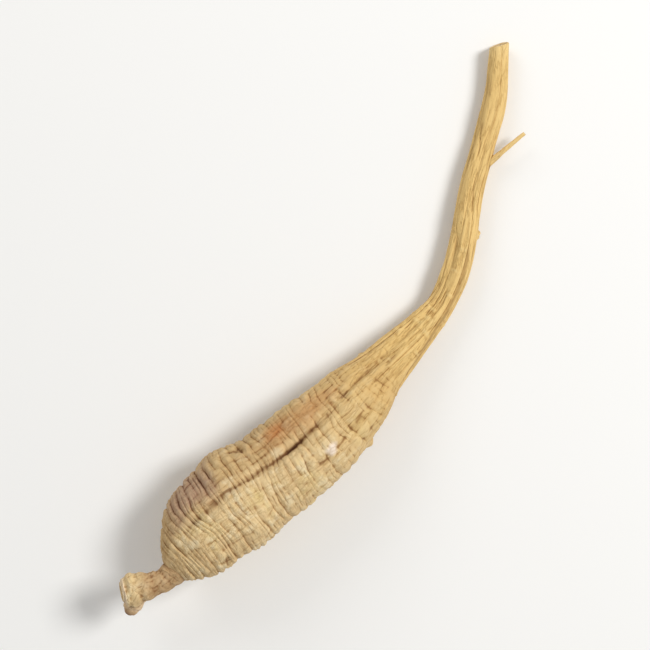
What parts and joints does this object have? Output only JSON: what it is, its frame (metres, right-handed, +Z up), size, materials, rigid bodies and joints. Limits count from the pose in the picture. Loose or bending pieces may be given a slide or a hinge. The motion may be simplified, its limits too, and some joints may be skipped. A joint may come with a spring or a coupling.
{
  "type": "american ginseng root",
  "caption": "Dried ginseng root lying on its side: a ringed, furrowed taproot with a short rhizome neck, stem scar and bud at the crown and a slender cut tail.",
  "frame": {"origin": "on the surface that the root lies on, under the middle of the root's box", "axes": "+X along the root from the crown to the cut tail, +Y across it, +Z up"},
  "size_m": [0.0796, 0.016, 0.0114],
  "materials": {
    "dried_root_bark": "dull, wrinkled, pale tan to ochre bark of a sun-dried root, darker brown in its grooves and cream on its cut and broken faces"
  },
  "bodies": {
    "root": {"ginseng_root": "dried_root_bark"}
  },
  "joints": []
}
